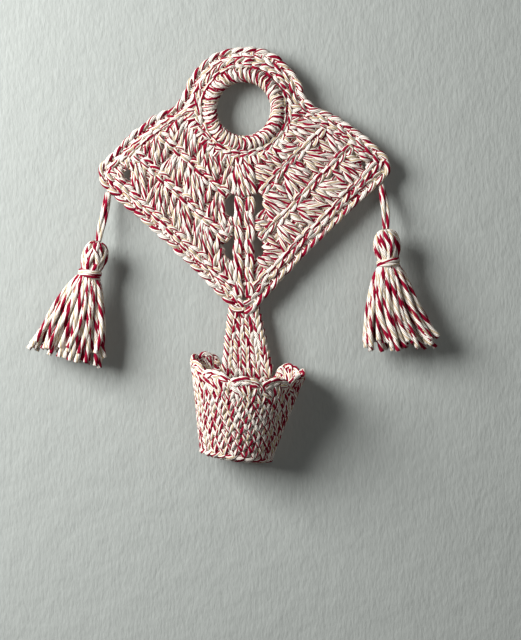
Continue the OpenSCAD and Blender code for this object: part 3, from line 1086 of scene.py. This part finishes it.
    def work_knots(self) -> None:
        """Works the knots round the wrap, and the plain stitches between them and the braid."""
        skein = Skein("ring_knot_row", 4)
        for radius in self.knot_cores:
            skein.strand(self.arc(radius, 90, -270)[:-1], radius=1.35, per=1, closed=True, layer=Layer.DEEP)
        chain = ChainStitch(pitch=5.6, spread=1.75, radius=1.55, low=-1.4, high=2.3, wander=1.0)
        self.both(chain, skein, self.arc(self.knot_r, 90, -270)[:-1], closed=True)
        start, end = self.collar_ends()
        vee = VeeStitch(width=5.6, height=6.4, radius=1.6, low=-0.4, high=2.4, wander=0.8)
        self.both(vee, skein, self.arc(self.collar_course_r, start, end + 360))
        skein.dress(self.finish)

    def work_top(self) -> None:
        """Braids the edge over the top of the ring, with half of the bend at each shoulder."""
        skein = Skein("top_edge_braid", 5)
        start, end = self.collar_ends()
        middle_r = self.collar_in_r + self.edge_w / 2
        turn = math.degrees(self.shoulder_reach / middle_r)
        left, right = (self.laid(flank, self.shoulder(flank)[1:5]) for flank in self.flanks.values())
        self.braid(skein, left[::-1] + self.arc(middle_r, start - turn, end + turn) + right)
        skein.dress(self.finish)

    def work_spine(self) -> None:
        """Works the fan under the ring and the two chain pillars below it."""
        skein = Skein("centre_spine", 9)
        start = self.line_z(self.flanks[1], 1)
        root = -self.collar_in_r - 3.0
        chain = ChainStitch(pitch=9.0, spread=1.6, radius=1.7, low=-1.0, high=2.3, wander=0.5)
        for face in Face:
            height = self.middle + (1.9 if face is Face.FRONT else -1.3)
            for k in (-2, -1, 0, 1, 2):
                foot = Vector((1.7 * k + skein.sway(0.4), -height, root))
                head = Vector((3.3 * k + skein.sway(0.4), -height, start + 1.5 + abs(k)))
                Post(radius=1.55, puff=1.2).work(skein, foot, head, self.OUT * face.value)
            for side in (-1, 1):
                points = []
                for t in shares(24):
                    x = side * self.pillar_x + 0.5 * math.sin(21.6 * t + side)
                    z = start + 1.0 + (self.pillar_end - 1.0 - start) * t
                    points.append(Vector((x, -self.middle, z)))
                chain.work(skein, self.course(points, face))
        for line in range(self.spine_lines):
            z = root - line * self.spine_step
            points = [Vector((x, -self.middle + skein.sway(0.4), z + skein.sway(0.6)))
                      for x in (-4.6, -1.6, 1.6, 4.6)]
            skein.strand(points, radius=1.4, per=2, layer=Layer.DEEP)
        skein.dress(self.finish)

    def work_neck(self) -> None:
        """Works the short rows from the panel's point to the pocket; the piece also takes the place of their
        seam.
        """
        skein = Skein("neck", 11)
        vee = VeeStitch(width=5.6, height=6.6, radius=1.6, low=-0.3, high=1.6, wander=0.5)
        top, foot = self.neck_half_w
        for row in range(self.neck_rows):
            t = (row + 0.5) / self.neck_rows
            ends = [Vector((side * (top + (foot - top) * t) + 2.0 * t, -2.6, self.neck_top - self.neck_h * t))
                    for side in (-1, 1)]
            skein.strand([ends[0], ends[0].lerp(ends[1], 0.5), ends[1]], radius=1.5, per=4, layer=Layer.DEEP)
            self.both(vee, skein, ends)
        skein.dress(self.finish, Body.PANEL, YARN_SLOT, "neck_seam")

    def build(self) -> None:
        """Works the whole panel."""
        self.work_wrap()
        self.work_knots()
        self.work_top()
        for side in self.flanks:
            self.work_edge(side)
            for row in range(1, self.rows + 1):
                self.work_row(side, row)
        self.work_spine()
        self.work_neck()


@dataclass
class Pocket:
    """The open cup under the neck: base, wall worked in rounds, and scalloped rim."""

    finish: bpy.types.Material
    place_x: float = 2.0
    drop: float = 172.5
    lean: float = 8.0
    dip: float = 14.0
    deep: float = 55.0
    base_t: float = 6.0
    mouth: Pair = (70.0, 46.0)
    foot: Pair = (48.0, 32.0)
    wall_t: float = 4.5
    rounds: int = 11
    shells: int = 9
    shell_posts: int = 5
    rim_h: float = 11.0
    flare: float = 2.5
    neck_half_w: float = 19.0

    def own_frame(self) -> Matrix:
        """Gives the pocket's own frame, whose origin is the back of its mouth."""
        lean = Matrix.Rotation(math.radians(self.lean), 4, "Y")
        return Matrix.Translation((self.place_x, 0, -self.drop)) @ lean

    def point(self, v: float, inset: float, angle: float) -> Vector:
        """Gives a point on the wall.

        Args:
            v: Height from 0 at the foot to 1 at the mouth.
            inset: Distance in from the outside.
            angle: Angle round the plan in radians, where -pi/2 is the front.

        Returns:
            The point in the frame, in millimetres.
        """
        width, depth = (foot + (mouth - foot) * v for foot, mouth in zip(self.foot, self.mouth))
        s = math.sin(angle)
        reach = (depth / 4 if s > 0 else 3 * depth / 4) - inset
        x, y = (width / 2 - inset) * math.cos(angle), -depth / 4 + reach * s
        top = y * math.tan(math.radians(self.dip))
        low = self.base_t - self.deep
        return self.own_frame() @ Vector((x, y, low + (top - low) * v))

    def round_course(self, v: float, inset: float, inward: bool = False) -> Course:
        """Gives the course of one round of stitches.

        Args:
            v: Height from 0 at the foot to 1 at the mouth.
            inset: Distance in from the outside.
            inward: Whether the stitches face into the pocket.

        Returns:
            The closed course.
        """
        angles = [TURN * t for t in shares(ROUND_STEPS)[:-1]]
        points = [self.point(v, inset, angle) for angle in angles]
        outs = [(self.point(v, inset - 1, angle) - point).normalized() * (-1 if inward else 1)
                for point, angle in zip(points, angles)]
        return Course(points, outs, closed=True)

    def work_wall(self) -> None:
        """Works the rounds of plain stitches, outside and inside."""
        skein = Skein("pocket_wall", 21, groove=0.0)
        outside = VeeStitch(width=6.6, height=5.6, radius=1.45, low=-0.9, high=0.7)
        inside = VeeStitch(width=6.6, height=5.6, radius=1.25, low=-0.6, high=0.5, per=1)
        for row in range(self.rounds):
            v = (row + 0.5) / self.rounds
            outside.work(skein, self.round_course(v, inset=1.9), shift=0.35 * row)
            inside.work(skein, self.round_course(v, self.wall_t - 1.4, inward=True), shift=0.2 * row)
            for half in (0.02, 0.52):
                ring = self.round_course((row + half) / self.rounds, inset=2.4)
                skein.strand(ring.points[:-1], radius=1.3, per=1, closed=True, layer=Layer.DEEP)
        skein.dress(self.finish)

    def work_base(self) -> None:
        """Works the base in rounds from its edge, which turns up a little, to its middle."""
        skein = Skein("pocket_base", 22)
        chain = ChainStitch(pitch=5.5, spread=1.5, radius=1.5, low=-1.2, high=0.8, wander=0.4)
        own_frame = self.own_frame()
        width, depth = self.foot
        for share, rise in ((1.0, 1.5), (0.78, 0.3), (0.55, 0.0), (0.32, 0.0), (0.12, 0.0)):
            points = []
            for t in shares(36)[:-1]:
                s = math.sin(TURN * t)
                reach = depth * (0.25 if s > 0 else 0.75) - 3.0
                x = (width / 2 - 3.0) * share * math.cos(TURN * t)
                y = -depth * 0.42 + (reach * s + depth * 0.17) * share
                points.append(own_frame @ Vector((x, y, -self.deep + 2.6 + rise)))
            chain.work(skein, Course(points, [Vector((0, 0, -1))] * len(points), closed=True))
        skein.dress(self.finish)

    def work_rim(self) -> None:
        """Works the shells round the mouth, from one side of the neck to the other."""
        skein = Skein("pocket_rim", 23)
        back = math.acos(self.neck_half_w / (self.mouth[0] / 2)) - math.radians(2)
        pitch = (math.pi + 2 * back) / self.shells
        middle = self.wall_t / 2
        chain = ChainStitch(pitch=6.0, spread=1.5, radius=1.55, low=-0.6, high=0.8, wander=0.4)
        up = self.own_frame().to_3x3() @ Vector((0, 0, 1))
        for shell in range(self.shells):
            centre = back - pitch * (shell + 0.5)
            heads, outs = [], []
            for post in range(self.shell_posts):
                t = (post + 0.5) / self.shell_posts - 0.5
                angle, root = centre - pitch * t * 1.05, centre - pitch * t * 0.35
                height = self.rim_h * (0.62 + 0.38 * math.cos(math.pi * t * 0.95)) - 1.6
                foot = self.point(1.0, middle, root) - up * 1.5
                head = self.point(1.0, middle - self.flare, angle) + up * height
                out = (self.point(1.0, 0.0, angle) - self.point(1.0, 1.0, angle)).normalized()
                Post(radius=1.6, spread=1.1, puff=0.6).work(skein, foot, head, out)
                heads.append(head + up * 0.6)
                outs.append(out)
            before, after = (self.point(1.0, middle, centre + pitch * half) + up * 2.0
                             for half in (0.5, -0.5))
            chain.work(skein, Course([before, *heads, after], [outs[0], *outs, outs[-1]]))
        skein.dress(self.finish)

    def build(self) -> None:
        """Works the whole pocket."""
        self.work_wall()
        self.work_base()
        self.work_rim()


@dataclass
class Tassel:
    """A tassel on its cord: the folded head, the binding and the fanned skirt."""

    finish: bpy.types.Material
    side: int
    tie: Vector
    route: tuple[tuple[float, float, float], ...]
    lean: float
    loose: float
    sweep: float
    spread: tuple[float, float, float]
    seed: int
    cord_strands: int = 3
    cord_twist: float = 0.3
    cord_strand_r: float = 1.3
    length: float = 78.0
    head_r: float = 9.0
    head_len: float = 22.0
    bound_r: float = 6.0
    binding_turns: int = 3
    binding_h: float = 4.4
    hem: Pair = (25.0, 9.0)
    strand_r: float = 1.4
    lay: float = 20.0

    def skein(self, part: str, lay: float = 24.0) -> Skein:
        """Starts the skein of one part, with the next seed."""
        self.seed += 1
        return Skein(f"{side_name(self.side)}_{part}", self.seed - 1, lay)

    def body(self, part: str) -> Body:
        """Gives the body of the cord or the tassel."""
        return Body(f"{side_name(self.side)}_{part}")

    def path(self) -> list[Vector]:
        """Gives the cord's route in the frame, in millimetres."""
        return [self.tie + Vector(step) for step in self.route]

    def at(self, x: float, y: float, z: float) -> Vector:
        """Gives a point of the tassel, whose own origin is the foot of its cord."""
        turn = Matrix.Rotation(math.radians(self.lean), 3, "Y")
        return self.path()[-1] + turn @ Vector((x, y, z))

    def work_cord(self) -> None:
        skein = self.skein("cord")
        path = self.path()
        course = Course(path, [Panel.OUT] * len(path))
        top, middle, foot = self.spread
        for strand in range(self.cord_strands):
            points = []
            for t in shares(16):
                angle = TURN * (strand / self.cord_strands - self.cord_twist * t)
                reach = top * (1 - t) ** 2 + 2 * middle * t * (1 - t) + foot * t ** 2
                station = course.station(course.length * t)
                points.append(station.at(0, reach * math.cos(angle), 0.6 * reach * math.sin(angle)))
            skein.strand(points, self.cord_strand_r, per=2)
        piece = skein.dress(self.finish, self.body("cord"))
        line = [point * MM for point in smooth_route(path, 3)]

    def work_head(self) -> None:
        """Folds the loops of the head over its top, in two layers."""
        skein = self.skein("tassel_head", self.lay)
        profile = ((0.30, 1.6), (0.62, 2.6), (0.88, 6.0), (1.0, 11.0), (0.9, 15.5), (0.66, 19.5),
                   (0.60, 23.0))
        reach = self.head_r - self.strand_r + 0.2
        for layer, count in ((1.0, 17), (0.66, 11)):
            for loop in range(count):
                azimuth = TURN * (loop + skein.sway(0.4) * self.loose) / count
                twist = skein.random.uniform(-0.5, 0.6) * self.loose
                lift = skein.random.uniform(-1.3, 0.1) * self.loose
                points = []
                for share, down in profile:
                    r = reach * share * layer + lift * math.sin(down / 7)
                    swirl = azimuth + 0.3 * math.sin(down / 8) + twist * math.cos(down / 6)
                    z = -down * (0.9 + 0.1 * layer)
                    points.append(self.at(r * math.cos(swirl), r * math.sin(swirl), z))
                skein.strand(points, self.strand_r * 1.1)
        skein.dress(self.finish, self.body("tassel"))

    def work_binding(self) -> None:
        """Winds the binding round the neck."""
        skein = self.skein("tassel_binding")
        reach = self.bound_r + 0.6
        points = []
        for t in shares(16 * self.binding_turns):
            angle = TURN * self.binding_turns * t
            z = -self.head_len + (t - 0.5) * self.binding_h + 0.5 * math.sin(angle * 0.7)
            points.append(self.at(reach * math.cos(angle), reach * math.sin(angle), z))
        skein.strand(points, radius=1.15, per=2)
        skein.dress(self.finish, self.body("tassel"))

    def work_skirt(self) -> None:
        """Hangs the cut strands of the skirt, in three layers with uneven ends."""
        skein = self.skein("tassel_skirt", self.lay)
        rand = skein.random
        for share, count in ((1.0, 38), (0.66, 20), (0.3, 8)):
            for index in range(count):
                azimuth = TURN * (index + skein.sway(0.8)) / count
                reach = share * rand.uniform(0.9, 1.0)
                end = -self.length + rand.uniform(-1.0, 8.0)
                wave, phase = rand.uniform(0.4, 1.5), rand.uniform(0, TURN)
                bow = rand.uniform(-0.2, 0.1) * self.loose
                cross = skein.sway(2.5)
                points = []
                for t in shares(9):
                    z = -self.head_len + (end + self.head_len) * t
                    fan = t ** 0.65 + bow * math.sin(math.pi * t)
                    wide, thick = ((self.bound_r - 1.8) * (1 - fan) + (hem - 1.7) * fan for hem in self.hem)
                    x = reach * wide * math.cos(azimuth) + (wave * math.sin(7 * t + phase) + cross * t) * t
                    y = reach * thick * math.sin(azimuth) + 0.4 * math.cos(6 * t + phase) * t
                    points.append(self.at(x + self.sweep * t ** 3, y, z))
                skein.strand(points, self.strand_r * rand.uniform(0.95, 1.1), flare=1.15)
        skein.dress(self.finish, self.body("tassel"), TASSEL_SLOT)

    def build(self) -> None:
        """Works the whole tassel."""
        self.work_cord()
        self.work_head()
        self.work_binding()
        self.work_skirt()


@dataclass
class Studio:
    """The wall, the floor, the lights and the camera."""

    picture: tuple[int, int] = (521, 640)
    scale: float = 0.65
    hole_px: Pair = (244.0, 110.0)
    distance: float = 1.1
    sensor: float = 36.0
    gap: float = 6.0
    floor_z: float = -0.6
    sheet_size: float = 2.0
    world_strength: float = 0.1

    def aim(self) -> Vector:
        """Finds where the camera looks.

        Returns:
            The point of the wall at the picture's middle, in metres.
        """
        x = (self.picture[0] / 2 - self.hole_px[0]) * self.scale
        z = (self.hole_px[1] - self.picture[1] / 2) * self.scale
        return Vector((x, 0, z)) * MM

    def camera(self) -> None:
        """Sets the camera square to the wall, at the photograph's framing."""
        data = bpy.data.cameras.new("camera")
        data.sensor_width = self.sensor
        data.lens = self.sensor * self.distance / (self.picture[1] * self.scale * MM)
        camera = put("camera", data)
        camera.location = self.aim() + Vector((0, -self.distance, 0))
        camera.rotation_euler = (math.pi / 2, 0, 0)
        bpy.context.scene.camera = camera

    def sheet(self, name: str, place: Vector, turn: Matrix, finish: bpy.types.Material) -> None:
        """Sets up one flat stage sheet.

        Args:
            name: Its name.
            place: Where its middle is, in metres.
            turn: How it is turned out of the level.
            finish: Its material.
        """
        form = bmesh.new()
        bmesh.ops.create_grid(form, x_segments=1, y_segments=1, size=self.sheet_size)
        bmesh.ops.transform(form, matrix=Matrix.Translation(place) @ turn, verts=form.verts)
        mesh = bpy.data.meshes.new(name)
        form.to_mesh(mesh)
        form.free()
        mesh.materials.append(finish)
        put(name, mesh)

    def lamp(self, name: str, place: tuple[float, float, float], size: float, power: float) -> None:
        """Hangs one soft square lamp that faces the holder.

        Args:
            name: Its name.
            place: Where it hangs, in metres.
            size: Its width, in metres.
            power: Its power, in watts.
        """
        data = bpy.data.lights.new(name, "AREA")
        data.size = size
        data.energy = power
        lamp = put(name, data)
        lamp.location = place
        lamp.rotation_euler = (self.aim() - Vector(place)).to_track_quat("-Z", "Y").to_euler()

    def build(self) -> None:
        """Builds the stage."""
        self.camera()
        wall = PaintedWall().material()
        self.sheet("wall", Vector((0, self.gap * MM, 0)), Matrix.Rotation(math.radians(90), 4, "X"), wall)
        self.sheet("floor", Vector((0, 0, self.floor_z)), Matrix.Identity(4), wall)
        self.lamp("key", (-0.72, -0.55, 0.20), 0.56, 21.5)
        self.lamp("fill", (0.5, -1.3, 0.1), 0.9, 1.9)
        self.lamp("rear", (0.3, 1.4, 0.5), 0.9, 9.0)
        world = bpy.data.worlds.new("studio")
        world.use_nodes = True
        background = world.node_tree.nodes["Background"]
        background.inputs["Color"].default_value = (1, 1, 1, 1)
        background.inputs["Strength"].default_value = self.world_strength
        bpy.context.scene.world = world
        bpy.context.scene.view_settings.view_transform = "Standard"


def main() -> None:
    """Builds the stage, then each sub-assembly, and reports each piece."""
    logging.basicConfig(level=logging.INFO, format="%(message)s")
    Studio().build()
    yarn = MarledYarn().material()
    cut = MarledYarn("marled_tassel_cotton", rose_plies=(0, 1, 2), straw_plies=(5,)).material()
    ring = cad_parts["ring_core"]
    ring.data.materials.clear()
    ring.data.materials.append(MouldedRing().material())
    log.info("%s: %d faces", ring.name, len(ring.data.polygons))
    Tassel(cut, -1, Vector((-87.684, -3.5, -54.297)), (
        (0, 0, 0), (-0.7, -0.6, -4), (-1.5, -1.3, -8), (-2.4, -2.2, -12), (-3.3, -3.1, -16),
        (-4.1, -4.0, -20), (-4.8, -4.9, -24), (-5.4, -5.6, -28), (-5.9, -6.0, -31.5),
    ), lean=15.0, loose=1.0, sweep=-1.5, spread=(1.0, 2.4, 0.7), seed=31).build()
    Tassel(cut, 1, Vector((89.060, -3.5, -47.933)), (
        (0, 0, 0), (0.5, -0.6, -4), (1.0, -1.3, -8), (1.5, -2.2, -12), (1.9, -3.1, -16),
        (2.3, -4.0, -20), (2.5, -4.9, -24), (2.6, -5.7, -28), (2.6, -6.0, -30),
    ), lean=-4.0, loose=0.5, sweep=6.0, spread=(0.4, 2.8, 0.9), seed=41).build()
    Panel(yarn).build()
    Pocket(yarn).build()


if __name__ == "__main__":
    main()
